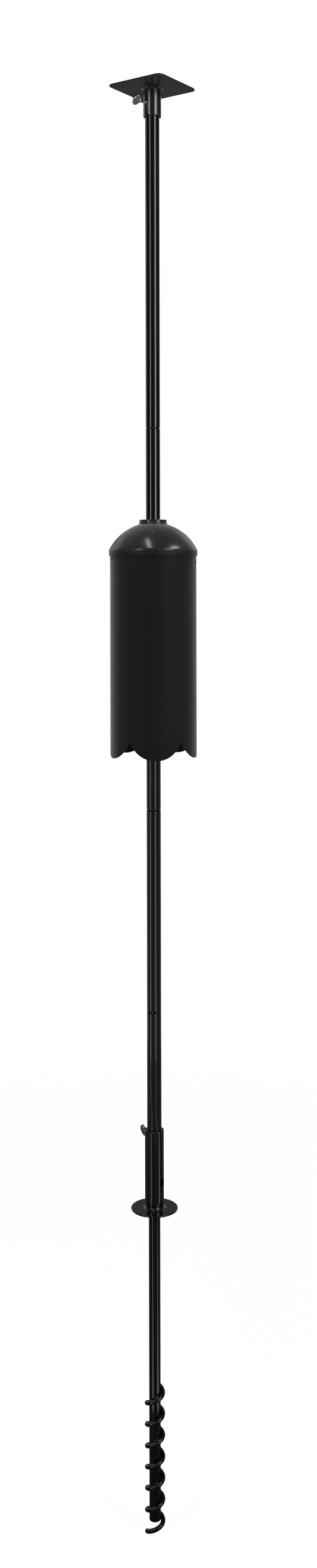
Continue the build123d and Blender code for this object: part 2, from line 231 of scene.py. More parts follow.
@dataclass(frozen=True)
class PowderCoat:
    """Baked powder coat on steel: a dark base under a clear skin, with peel, rub marks and dust.

    Slow noise shifts its roughness and lays the dust, streaks drawn out along the pole lighten it
    and wear the skin, and the peel is a shallow bump.
    """

    name: str
    colour: tuple
    dust_colour: tuple
    roughness: float
    specular: float
    skin: float
    skin_roughness: float
    peel_depth: float
    peel_scale: float = 420.0
    cloud_scale: float = 22.0
    rub_scale: float = 160.0
    rub_stretch: tuple = (1.0, 1.0, 0.06)
    rub_limits: tuple = (0.56, 0.8)
    rub_share: float = 0.3
    rub_roughness: float = 0.06
    rub_wear: float = 0.25
    dust_limits: tuple = (0.45, 0.9)
    dust_share: float = 0.5

    def make(self) -> Material:
        """Builds the finish's nodes.

        Returns:
            The material.
        """
        recipe = Recipe(bpy.data.materials.new(self.name))
        at = recipe.place()
        peel = recipe.noise(at, self.peel_scale, detail=1.0)
        cloud = recipe.noise(at, self.cloud_scale, detail=4.0)
        streaks = recipe.noise(at, self.rub_scale, detail=3.0, stretch=self.rub_stretch)
        rub = recipe.band(streaks, *self.rub_limits)
        dusty = recipe.band(cloud, *self.dust_limits) * self.dust_share + rub * self.rub_share
        base = recipe.blend(dusty, self.colour, self.dust_colour)
        rough = self.roughness + (cloud - 0.5) * GLOSS_SWING + rub * self.rub_roughness
        return recipe.surface({
            "Base Color": base,
            "Roughness": rough,
            "Specular IOR Level": self.specular,
            "Coat Weight": self.skin * (1 - rub * self.rub_wear),
            "Coat Roughness": self.skin_roughness,
            "Normal": recipe.bump(peel, self.peel_depth),
        })


@dataclass(frozen=True)
class MouldedPlastic:
    """Dark moulded plastic: fine grain, slow changes of gloss, faint scuffs and a pale bloom."""

    name: str
    colour: tuple
    scuff_colour: tuple
    roughness: float
    specular: float
    bloom: float
    bloom_roughness: float
    grain_depth: float
    grain_scale: float
    cloud_scale: float = 14.0
    scuff_scale: float = 90.0
    scuff_stretch: tuple = (1.0, 1.0, 0.3)
    scuff_limits: tuple = (0.6, 0.85)
    scuff_share: float = 0.5
    scuff_roughness: float = 0.06
    cloud_limits: tuple = (0.4, 0.9)
    cloud_share: float = 0.3

    def make(self) -> Material:
        """Builds the finish's nodes.

        Returns:
            The material.
        """
        recipe = Recipe(bpy.data.materials.new(self.name))
        at = recipe.place()
        grain = recipe.noise(at, self.grain_scale, detail=3.0)
        cloud = recipe.noise(at, self.cloud_scale, detail=4.0)
        marks = recipe.noise(at, self.scuff_scale, detail=5.0, stretch=self.scuff_stretch)
        scuff = recipe.band(marks, *self.scuff_limits)
        worn = scuff * self.scuff_share + recipe.band(cloud, *self.cloud_limits) * self.cloud_share
        base = recipe.blend(worn, self.colour, self.scuff_colour)
        rough = self.roughness + (cloud - 0.5) * GLOSS_SWING + scuff * self.scuff_roughness
        return recipe.surface({
            "Base Color": base,
            "Roughness": rough,
            "Specular IOR Level": self.specular,
            "Sheen Weight": self.bloom,
            "Sheen Roughness": self.bloom_roughness,
            "Normal": recipe.bump(grain, self.grain_depth),
        })


@dataclass(frozen=True)
class BareMetal:
    """Plated or drawn metal: bright, with fine lines and soft stains."""

    name: str
    colour: tuple
    stain_colour: tuple
    roughness: float
    line_scale: float
    line_stretch: tuple
    line_depth: float = 0.00001
    line_roughness: float = 0.1
    stain_scale: float = 240.0
    stain_limits: tuple = (0.45, 0.8)
    stain_share: float = 0.6
    stain_roughness: float = 0.12

    def make(self) -> Material:
        """Builds the finish's nodes.

        Returns:
            The material.
        """
        recipe = Recipe(bpy.data.materials.new(self.name))
        at = recipe.place()
        lines = recipe.noise(at, self.line_scale, detail=2.0, stretch=self.line_stretch)
        cloud = recipe.noise(at, self.stain_scale, detail=4.0)
        stain = recipe.band(cloud, *self.stain_limits)
        base = recipe.blend(stain * self.stain_share, self.colour, self.stain_colour)
        rough = self.roughness + stain * self.stain_roughness + (lines - 0.5) * self.line_roughness
        return recipe.surface({
            "Base Color": base,
            "Metallic": 1.0,
            "Roughness": rough,
            "Normal": recipe.bump(lines, self.line_depth),
        })


class Slot(Enum):
    """The record's material slots."""

    BLACK_COAT = "black_coat"
    ANCHOR_COAT = "anchor_coat"
    BRIGHT_PLATING = "bright_plating"
    SPRING_STEEL = "spring_steel"
    SLIDE_PLASTIC = "slide_plastic"
    DOME_PLASTIC = "dome_plastic"
    SHROUD_PLASTIC = "shroud_plastic"


PLATFORM_SOCKET_FINISH = PowderCoat(
    name="platform_socket_coat",
    colour=(0.0028, 0.0027, 0.0028, 1.0), dust_colour=(0.0055, 0.0052, 0.005, 1.0),
    roughness=0.27, specular=1.0, skin=0.35, skin_roughness=0.12, peel_depth=0.000002,
)
# Satin copy of the black coat for the plate: its lighter colour is painted light, in place of light from below on
# the plate's underside.
LIT_PLATE_FINISH = PowderCoat(
    name="plate_coat_painted_light",
    colour=(0.013, 0.0127, 0.0128, 1.0), dust_colour=(0.018, 0.0175, 0.0172, 1.0),
    roughness=0.42, specular=0.5, skin=0.5, skin_roughness=0.28, peel_depth=0.000004,
)
# Darker, rougher copy of the dome plastic for the upright skirt: its darker colour is painted shade.
SHADED_SKIRT_FINISH = MouldedPlastic(
    name="dome_skirt_shaded_plastic",
    colour=(0.0122, 0.0116, 0.0106, 1.0), scuff_colour=(0.0165, 0.0157, 0.0143, 1.0),
    roughness=0.46, specular=0.12, bloom=0.8, bloom_roughness=0.36,
    grain_depth=0.00003, grain_scale=1100.0,
)

FINISHES = {
    Slot.BLACK_COAT: PowderCoat(
        name="gloss_black_coat",
        colour=(0.0025, 0.0024, 0.0026, 1.0), dust_colour=(0.005, 0.0048, 0.0046, 1.0),
        roughness=0.3, specular=0.12, skin=1.0, skin_roughness=0.06, peel_depth=0.0000005,
    ),
    Slot.ANCHOR_COAT: PowderCoat(
        name="satin_black_coat",
        colour=(0.0022, 0.0022, 0.0022, 1.0), dust_colour=(0.0055, 0.005, 0.0046, 1.0),
        roughness=0.36, specular=0.1, skin=0.9, skin_roughness=0.07, peel_depth=0.000003,
    ),
    Slot.BRIGHT_PLATING: BareMetal(
        name="zinc_plating",
        colour=(0.52, 0.52, 0.51, 1.0), stain_colour=(0.32, 0.31, 0.29, 1.0),
        roughness=0.17, line_scale=900.0, line_stretch=(1.0, 1.0, 0.2),
    ),
    Slot.SPRING_STEEL: BareMetal(
        name="drawn_wire",
        colour=(0.3, 0.3, 0.31, 1.0), stain_colour=(0.16, 0.14, 0.12, 1.0),
        roughness=0.34, line_scale=1200.0, line_stretch=(0.3, 0.3, 1.0),
    ),
    Slot.SLIDE_PLASTIC: MouldedPlastic(
        name="slide_plastic",
        colour=(0.012, 0.012, 0.013, 1.0), scuff_colour=(0.03, 0.03, 0.03, 1.0),
        roughness=0.5, specular=0.4, bloom=0.0, bloom_roughness=0.5,
        grain_depth=0.00004, grain_scale=1400.0,
    ),
    Slot.DOME_PLASTIC: MouldedPlastic(
        name="dome_plastic",
        colour=(0.0165, 0.016, 0.0151, 1.0), scuff_colour=(0.0225, 0.0218, 0.021, 1.0),
        roughness=0.22, specular=0.45, bloom=0.6, bloom_roughness=0.42,
        grain_depth=0.000012, grain_scale=1100.0,
    ),
    Slot.SHROUD_PLASTIC: MouldedPlastic(
        name="shroud_plastic",
        colour=(0.0088, 0.0083, 0.0075, 1.0), scuff_colour=(0.012, 0.0114, 0.0103, 1.0),
        roughness=0.5, specular=0.06, bloom=1.0, bloom_roughness=0.38,
        grain_depth=0.00003, grain_scale=900.0,
    ),
}


class Workshop:
    """Holds the materials, hands them out by slot, and dresses the CAD nodes that stay."""

    def __init__(self) -> None:
        """Makes one material for each slot of the record, and notes each node's body and slot."""
        self.materials = {slot: finish.make() for slot, finish in FINISHES.items()}
        record = frame["record"]
        bodies = record["behaviour"]["bodies"]
        self.slots = {part["node"]: Slot(part["material_slot"]) for part in record["subparts"]}
        self.bodies = {node: body for body, nodes in bodies.items() for node in nodes}
        self.replaced = set()

    def stand_in(
        self, piece: Object, node: str, finish: Union[MouldedPlastic, None] = None
    ) -> Object:
        """Puts a new piece in the place of a CAD node, on its body and in its slot.

        Args:
            piece: The finished piece.
            node: The CAD node that it replaces.
            finish: The piece's own copy of its slot's finish, where it has one, such as the skirt's darker copy,
                whose darker colour is painted shade.

        Returns:
            The piece.
        """
        slot = self.slots[node]
        piece.data.materials.append(finish.make() if finish else self.materials[slot])
        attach(piece, self.bodies[node])
        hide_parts(node)
        self.replaced.add(node)
        log.info("%s stands for %s in %s", piece.name, node, slot.value)
        return piece

    def dress_rest(self, special: dict) -> None:
        """Gives each CAD node that stays its slot's material.

        Args:
            special: Nodes that wear their own copy of their slot's finish, with that finish; the plate's lighter
                copy holds painted light.
        """
        for node, slot in self.slots.items():
            if node in self.replaced:
                continue
            mesh = frame["nodes"][node].data
            mesh.materials.clear()
            mesh.materials.append(special[node].make() if node in special else self.materials[slot])
            log.info("%s keeps its CAD shape in %s", node, slot.value)


# ---- Surfaces ----


@dataclass
class Skin:
    """A surface given by points on a grid of two parameters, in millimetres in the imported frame.

    A row or column that closes on itself joins its last points to its first, and a row drawn in to
    one point is a pole, whose copies are merged. A capped skin has a flat face over its first and
    over its last column.
    """

    points: np.ndarray
    closed_rows: bool = False
    closed_columns: bool = True
    capped: bool = False
    left_out: Union[np.ndarray, None] = None

    def corners(self) -> np.ndarray:
        """Finds each face's four corners, which are neighbours along both parameters.

        Returns:
            Indices of the points, one row for each face.
        """
        rows, columns = self.points.shape[:2]
        index = np.arange(rows * columns).reshape(rows, columns)
        if self.closed_rows:
            index = np.concatenate([index, index[:1]], 0)
        if self.closed_columns:
            index = np.concatenate([index, index[:, :1]], 1)
        cells = np.stack([index[:-1, :-1], index[:-1, 1:], index[1:, 1:], index[1:, :-1]], -1)
        return cells.reshape(-1, 4) if self.left_out is None else cells[~self.left_out]

    def faces(self, start: int) -> list:
        """Lists each face's corners, with those of the caps last.

        Args:
            start: Index of the skin's first point in its piece.

        Returns:
            A list of the points' indices for each face.
        """
        rows, columns = self.points.shape[:2]
        listed = (self.corners() + start).tolist()
        if self.capped:
            ring = start + columns * np.arange(rows)
            listed += [ring.tolist(), (ring + columns - 1).tolist()]
        return listed


def add_object(name: str, data: ID) -> Object:
    """Puts a new object in the scene.

    Args:
        name: The object's name.
        data: The mesh, lamp or camera that it holds.

    Returns:
        The object, at the origin.
    """
    made = bpy.data.objects.new(name, data)
    bpy.context.scene.collection.objects.link(made)
    return made


def make_piece(name: str, skins: list, bevel: float = 0.0, wall: float = 0.0) -> Object:
    """Makes one smooth-shaded piece from closed skins, with its place in its mesh.

    Args:
        name: The piece's name.
        skins: The skins it is made of.
        bevel: Width in millimetres of the round on its sharp edges.
        wall: Thickness in millimetres that is added inwards.

    Returns:
        The new object, at the origin.
    """
    points, faces, start = [], [], 0
    for skin in skins:
        points.append(skin.points.reshape(-1, 3) * MM)
        faces += skin.faces(start)
        start += points[-1].shape[0]
    mesh = bpy.data.meshes.new(name)
    mesh.from_pydata(np.concatenate(points).tolist(), [], faces)
    shape = bmesh.new()
    shape.from_mesh(mesh)
    bmesh.ops.remove_doubles(shape, verts=shape.verts, dist=MERGE_DISTANCE * MM)
    bmesh.ops.recalc_face_normals(shape, faces=shape.faces)
    shape.to_mesh(mesh)
    shape.free()
    mesh.polygons.foreach_set("use_smooth", np.ones(len(mesh.polygons), bool))
    piece = add_object(name, mesh)
    if wall:
        solid = piece.modifiers.new("wall", "SOLIDIFY")
        solid.thickness = wall * MM
        solid.offset = -1.0
        solid.use_even_offset = True
    if bevel:
        round_off = piece.modifiers.new("edge_round", "BEVEL")
        round_off.width = bevel * MM
        round_off.segments = 3
        round_off.limit_method = "ANGLE"
        round_off.angle_limit = math.radians(SHARP_ANGLE)
        round_off.harden_normals = True
    return piece


def round_turn(count: int) -> np.ndarray:
    """Even angles once round the full turn."""
    return np.linspace(0.0, 2 * math.pi, count, endpoint=False)


def helix(radius: np.ndarray, height: np.ndarray, turn: np.ndarray) -> np.ndarray:
    """Points at the given radii, heights and angles about the pole's axis.

    Formula: radius r, height z and angle t give (r cos t, r sin t, z), over each other's shape.
    """
    r, z, t = np.broadcast_arrays(radius, height, turn)
    return np.stack([r * np.cos(t), r * np.sin(t), z], -1)


def turned(section: np.ndarray, columns: int) -> np.ndarray:
    """Section of radii and heights turned once about the pole's axis."""
    return helix(section[:, :1], section[:, 1:], round_turn(columns))


def swept(path: np.ndarray, radius: np.ndarray, columns: int) -> np.ndarray:
    """Round rod along a path that never runs along the pole's axis, drawn in to a pole at each end.

    Formula: at each point, the unit tangent is crossed with +Z for a side direction, and the side
    is crossed with the tangent for an upper one. A ring of the local radius is spanned by the two.

    Args:
        path: Points of the middle line, N by 3.
        radius: The rod's radius at each point.
        columns: Points round the rod.

    Returns:
        Grid of N by columns points.
    """
    tangent = np.gradient(path, axis=0)
    tangent /= np.linalg.norm(tangent, axis=1, keepdims=True)
    side = np.cross(tangent, (0.0, 0.0, 1.0))
    side /= np.linalg.norm(side, axis=1, keepdims=True)
    upper = np.cross(side, tangent)
    turn = round_turn(columns)[:, None]
    ring = side[:, None] * np.cos(turn) + upper[:, None] * np.sin(turn)
    return path[:, None] + ring * radius[:, None, None]


def smooth_step(value: np.ndarray) -> np.ndarray:
    """Cubic step: 0 up to 0, 1 from 1."""
    value = np.clip(value, 0.0, 1.0)
    return value * value * (3 - 2 * value)


def round_ends(distance: np.ndarray, full: float, end_length: float, tip: float) -> np.ndarray:
    """Radius of a rod whose ends are rounded off.

    Formula: the full radius times the quarter-ellipse rise of the distance from the nearer end over
    the end's length. The last point at each end is drawn in to nothing.

    Args:
        distance: Distance along the rod, from 0 to its length.
        full: Radius away from the ends.
        end_length: Length over which an end is rounded.
        tip: Share of the radius left at the face of the end.

    Returns:
        The radius at each distance.
    """
    near = np.minimum(distance, distance[-1] - distance)
    rise = np.clip(near / end_length, 0.0, 1.0)
    radius = full * (tip + (1 - tip) * np.sqrt(1 - (1 - rise) ** 2))
    radius[[0, -1]] = 0.0
    return radius


@dataclass
class RingWeld:
    """Bead of weld in the corner between an upright tube and a flat plate, laid in scallops.

    Formula: round the tube, the bead's leg is its full size times 1 + a few slow waves, less a
    ripple times 1 - a rectified sine. Its face is an arc from the plate to the tube, and its back
    runs inside the metal of both. A slow wave is (size, count round the tube, share of the phase).
    """

    place: str
    tube_r: float
    root_z: float
    towards: float
    reach: float
    climb: float
    scallops: int
    face_bulge: float
    ripple: float
    phase: float = 0.0
    slow_waves: tuple = ((0.06, 3, 1.0), (0.04, 7, 2.1))
    slow_shift: float = 0.5
    buried_depth: float = 0.5
    buried_rise: float = 0.4
    bow_share: float = 0.7
    columns: int = 480
    rows: int = 14

    def build(self, workshop: Workshop) -> None:
        """Makes the bead and puts it in its node's place.

        Args:
            workshop: The workshop that dresses it.
        """
        turn = round_turn(self.columns)
        slow = sum(
            size * np.sin(count * turn + share * self.phase)
            for size, count, share in self.slow_waves
        )
        scale = np.abs(np.sin(0.5 * self.scallops * turn + self.phase + self.slow_shift * slow))
        size = 1.0 - self.ripple + slow + self.ripple * scale
        s = np.linspace(0.0, 1.0, self.rows)[:, None]
        bow = self.bow_share * self.face_bulge * np.sin(math.pi * s)
        out = (1 - s) + bow
        up = s + bow
        r = self.tube_r + self.reach * size * out
        z = self.root_z + self.towards * self.climb * size * up
        buried_r = np.full((1, self.columns), self.tube_r - self.buried_depth)
        buried_z = np.full((1, self.columns), self.root_z - self.buried_rise * self.towards)
        points = helix(np.concatenate([r, buried_r]), np.concatenate([z, buried_z]), turn)
        piece = make_piece(f"{self.place}_bead", [Skin(points, closed_rows=True)])
        workshop.stand_in(piece, f"{self.place}_weld")


@dataclass
class ThumbScrew:
    """Spade-headed thumb screw: threaded shank, flared neck and flat oval head with ridges."""

    place: str
    lean: float
    head_root_r: float
    tip_r: float = 12.8
    shank_r: float = 3.15
    thread_pitch: float = 1.27
    thread_depth: float = 0.55
    thread_steepness: float = 1.25
    thread_root: float = 0.12
    thread_fade: float = 1.5
    point_length: float = 0.8
    point_depth: float = 0.75
    neck_r: float = 3.6
    neck_length: float = 4.0
    flare_start: float = 1.0
    sunk_length: float = 6.0
    fold_start: float = 1.5
    fold_share: float = 0.8
    fold_power: float = 1.5
    head_length: float = 15.5
    head_width: float = 21.0
    head_thickness: float = 4.5
    rim: float = 0.14
    rim_drop: float = 0.92
    rim_angles: tuple = (0.35, 1.45)
    ridge_pitch: float = 2.4
    ridge_depth: float = 0.25
    ridge_power: int = 10
    field_depth: float = 0.25
    field_share: float = 0.9
    field_edge: float = 0.08
    shank_grid: tuple = (230, 28)
    head_grid: tuple = (30, 7, 132)

    def axes(self) -> tuple:
        """Finds the screw's directions from its joint.

        Returns:
            Height of its axis, and its outward, upward and sideways unit vectors.
        """
        joint = next(j for j in frame["joints"] if j["name"] == f"{self.place}_screw_turn")
        out = np.array(joint["axis"], float)
        out /= np.linalg.norm(out)
        side = np.array([-out[1], out[0], 0.0])
        return joint["pos_m"][2] / MM, out, np.array([0.0, 0.0, 1.0]), side

    def shank(self) -> np.ndarray:
        """Threaded shank with a flared neck.

        Formula: at distance x along the screw and angle t round it, the radius is the full one less
        the thread's depth times a clipped triangle wave of x / pitch - t / turn. The thread fades
        out before the neck, which flares as a smooth step and then draws in inside the head.

        Returns:
            Grid of points.
        """
        height, out, upper, side = self.axes()
        neck_start = self.head_root_r - self.neck_length
        end = self.head_root_r + self.sunk_length
        rows, columns = self.shank_grid
        x = np.concatenate([[self.tip_r] * 2, np.linspace(self.tip_r, end, rows), [end]])
        turn = round_turn(columns)
        wave = (x[:, None] / self.thread_pitch - turn / (2 * math.pi)) % 1.0
        groove = self.thread_steepness * (1 - np.abs(2 * wave - 1)) - self.thread_root
        groove = np.clip(groove, 0.0, 1.0)
        fade = np.clip((neck_start - x) / self.thread_fade, 0.0, 1.0)[:, None]
        point = np.clip((x - self.tip_r) / self.point_length, 0.0, 1.0)
        flare = smooth_step((x - neck_start - self.flare_start) / self.neck_length)
        fold = (x - self.head_root_r - self.fold_start) / (self.sunk_length - self.fold_start)
        fold = np.clip(fold, 0.0, 1.0) ** self.fold_power
        r = self.shank_r - self.point_depth * (1 - point) + (self.neck_r - self.shank_r) * flare
        r = (r * (1 - self.fold_share * fold))[:, None] - self.thread_depth * groove * fade
        r[[0, -1]] = 0.0
        r[1] = r[2]
        ring = upper * np.cos(turn)[:, None] + side * np.sin(turn)[:, None]
        centre = out * x[:, None] + np.array([0.0, 0.0, height])
        return centre[:, None] + ring[None] * r[..., None]

    def head(self) -> np.ndarray:
        """Flat oval head.

        Formula: an oval grid of angle and radius share q, once over each face. The half thickness
        is the full one under a quarter-ellipse round at the rim, less a shallow field inside the
        rim that is crossed by ridges: a high power of the cosine of the distance along the screw.

        Returns:
            Grid of points, from the middle of one face over the rim to the middle of the other.
        """
        height, out, upper, side = self.axes()
        lean = math.radians(self.lean)
        normal = side * math.cos(lean) - upper * math.sin(lean)
        across = np.cross(normal, out)
        face_rows, rim_rows, columns = self.head_grid
        t = round_turn(columns)
        face = np.linspace(0.0, 1 - self.rim, face_rows)
        round_off = 1 - self.rim * np.cos(np.linspace(*self.rim_angles, rim_rows))
        q = np.concatenate([face, round_off, [1.0]])
        along = 0.5 * self.head_length * q[:, None] * np.cos(t)
        wide = 0.5 * self.head_width * q[:, None] * np.sin(t)
        edge = np.clip((q - (1 - self.rim)) / self.rim, 0.0, 1.0)[:, None]
        half = 0.5 * self.head_thickness * np.sqrt(1 - self.rim_drop * edge**2)
        field = np.clip((self.field_share - q) / self.field_edge, 0.0, 1.0)[:, None]
        ridge = np.cos(math.pi * along / self.ridge_pitch) ** self.ridge_power
        half = half - field * (self.field_depth + self.ridge_depth * (1 - ridge))
        middle = out * (self.head_root_r + 0.5 * self.head_length) + np.array([0.0, 0.0, height])
        flat = middle + out * along[..., None] + across * wide[..., None]
        near = flat + normal * half[..., None]
        far = flat - normal * half[..., None]
        return np.concatenate([near, far[::-1]], 0)

    def build(self, workshop: Workshop) -> None:
        """Makes the screw and puts it in its node's place."""
        piece = make_piece(f"{self.place}_screw", [Skin(self.shank()), Skin(self.head())])
        workshop.stand_in(piece, f"{self.place}_thumb_screw")


@dataclass
class GroundAnchor:
    """The auger's wound rod and short weld beads, the disc's two ring welds and the thumb screw."""

    socket_r: float = 16.7
    disc_thickness: float = 3.0
    shaft_r: float = 10.15
    rod_r: float = 4.0
    pitch: float = 37.8
    turns: float = 6.67
    end_heading: float = 180.0
    bead_turns: tuple = (0.8, 2.3, 4.3, 6.3)
    bead_arc: float = 46.0
    bead_r: float = 3.2
    bead_ripple: float = 0.09
    bead_ripple_rate: float = 15.0
    bead_lift: float = 0.85
    bead_out: float = 0.8
    rod_gap: float = 0.05
    wander_r: float = 0.12
    wander_r_rate: float = 0.9
    wander_r_phase: float = 0.5
    wander_z: float = 0.35
    wander_z_rate: float = 1.7
    end_round: float = 2.2
    end_tip: float = 0.55
    low_weld_r: float = 16.6
    low_weld_height: float = 7.4
    rod_grid: tuple = (520, 22)
    bead_grid: tuple = (44, 18)

    def rod_line(self, turn_count: np.ndarray) -> np.ndarray:
        """Middle line of the wound rod.

        Formula: a right-handed helix that rises one pitch a turn. Two slow sines of the angle draw
        it in and lift it a little.

        Args:
            turn_count: Turns up from the rod's lower end.

        Returns:
            Points of the line.
        """
        bottom_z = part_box("auger_spiral")[0].z / MM + self.rod_r
        angle = math.radians(self.end_heading) + 2 * math.pi * turn_count
        inwards = 1 + np.sin(self.wander_r_rate * angle + self.wander_r_phase)
        r = self.shaft_r + self.rod_r + self.rod_gap - self.wander_r * inwards
        up = self.wander_z * np.sin(self.wander_z_rate * angle)
        return helix(r, bottom_z + self.pitch * turn_count + up, angle)

    def spiral(self) -> np.ndarray:
        """Shapes the wound rod with its two sawn and rubbed ends.

        Formula: a rod of one radius along the rod's line, rounded off at both ends.

        Returns:
            Grid of points.
        """
        rows, columns = self.rod_grid
        count = np.linspace(0.0, self.turns, rows)
        distance = count * math.hypot(2 * math.pi * (self.shaft_r + self.rod_r), self.pitch)
        radius = round_ends(distance, self.rod_r, self.end_round, self.end_tip)
        return swept(self.rod_line(count), radius, columns)

    def bead(self, at_turn: float) -> np.ndarray:
        """Short bead of weld in the corner above the rod.

        Formula: a rod along the helix at the shaft's surface, lifted by most of the wound rod's
        radius. Its radius is a half ellipse along its length times 1 + a small sine for ripples.

        Args:
            at_turn: Turns up from the rod's lower end to the bead's middle.

        Returns:
            Grid of points.
        """
        rows, columns = self.bead_grid
        s = np.linspace(-1.0, 1.0, rows)
        count = at_turn + 0.5 * s * self.bead_arc / 360
        angle = math.radians(self.end_heading) + 2 * math.pi * count
        z = self.rod_line(count)[:, 2] + self.bead_lift * self.rod_r
        ripples = 1 + self.bead_ripple * np.sin(self.bead_ripple_rate * s)
        radius = self.bead_r * np.sqrt(1 - s**2) * ripples
        return swept(helix(self.shaft_r + self.bead_out, z, angle), radius, columns)

    def build(self, workshop: Workshop) -> None:
        """Makes the pieces and puts each in its node's place.

        Args:
            workshop: The workshop that dresses them.
        """
        workshop.stand_in(make_piece("wound_rod", [Skin(self.spiral())]), "auger_spiral")
        beads = [Skin(self.bead(turn)) for turn in self.bead_turns]
        workshop.stand_in(make_piece("rod_beads", beads), "spiral_welds")
        RingWeld(
            "upper_disc", tube_r=self.socket_r, root_z=self.disc_thickness, towards=1.0, reach=4.2,
            climb=4.0, scallops=26, face_bulge=-0.16, ripple=0.05,
        ).build(workshop)
        RingWeld(
            "lower_disc", tube_r=self.shaft_r, root_z=0.0, towards=-1.0,
            reach=self.low_weld_r - self.shaft_r, climb=self.low_weld_height, scallops=18,
            face_bulge=-0.1, ripple=0.06, phase=1.3,
        ).build(workshop)
        ThumbScrew("ground", 15.0, self.socket_r + SCREW_REACH).build(workshop)


@dataclass
class PlatformMount:
    """The platform's weld and thumb screw; its plate and socket keep their CAD shapes."""

    socket_r: float = 15.875

    def build(self, workshop: Workshop) -> None:
        """Makes the weld under the plate and the thumb screw.

        Args:
            workshop: The workshop that dresses them.
        """
        plate_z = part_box("platform_plate")[0].z / MM
        RingWeld(
            "platform", tube_r=self.socket_r, root_z=plate_z, towards=-1.0, reach=4.6, climb=4.5,
            scallops=21, face_bulge=-0.1, ripple=0.22, phase=0.4,
        ).build(workshop)
        ThumbScrew("platform", 48.0, self.socket_r + SCREW_REACH).build(workshop)


@dataclass
class BaffleSpring:
    """Compression spring between the collar and the cap, with closed and ground ends."""

    middle_r: float = 17.0
    wire_r: float = 0.9
    turns: float = 9.0
    closed_turns: float = 0.9
    ease_start: float = 0.75
    open_rise: float = 11.0
    end_round: float = 0.6
    end_tip: float = 0.6
    travel: float = 50.0
    grid: tuple = (600, 12)

    def build(self, workshop: Workshop) -> None:
        """Makes the spring.

        Formula: the height is the running sum of a pitch that is one wire at both ends and eases up
        to the open pitch between them, scaled to the spring's length. Points are held between the
        two ground end planes.

        Args:
            workshop: The workshop that dresses it.
        """
        low_z, high_z = (corner.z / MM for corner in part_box("baffle_spring"))
        rows, columns = self.grid
        count = np.linspace(0.0, self.turns, rows)
        ends = np.minimum(count, self.turns - count) / self.closed_turns
        rise = 2 * self.wire_r + smooth_step(ends - self.ease_start) * self.open_rise
        height = np.concatenate([[0.0], np.cumsum(0.5 * (rise[1:] + rise[:-1]) * np.diff(count))])
        height *= (high_z - low_z - self.wire_r) / height[-1]
        line = helix(self.middle_r, low_z + 0.5 * self.wire_r + height, 2 * math.pi * count)
        distance = count * 2 * math.pi * self.middle_r
        radius = round_ends(distance, self.wire_r, self.end_round, self.end_tip)
        wire = swept(line, radius, columns)
        wire[..., 2] = np.clip(wire[..., 2], low_z, high_z)
        piece = workshop.stand_in(make_piece("coil_spring", [Skin(wire)]), "baffle_spring")
        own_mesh(piece)


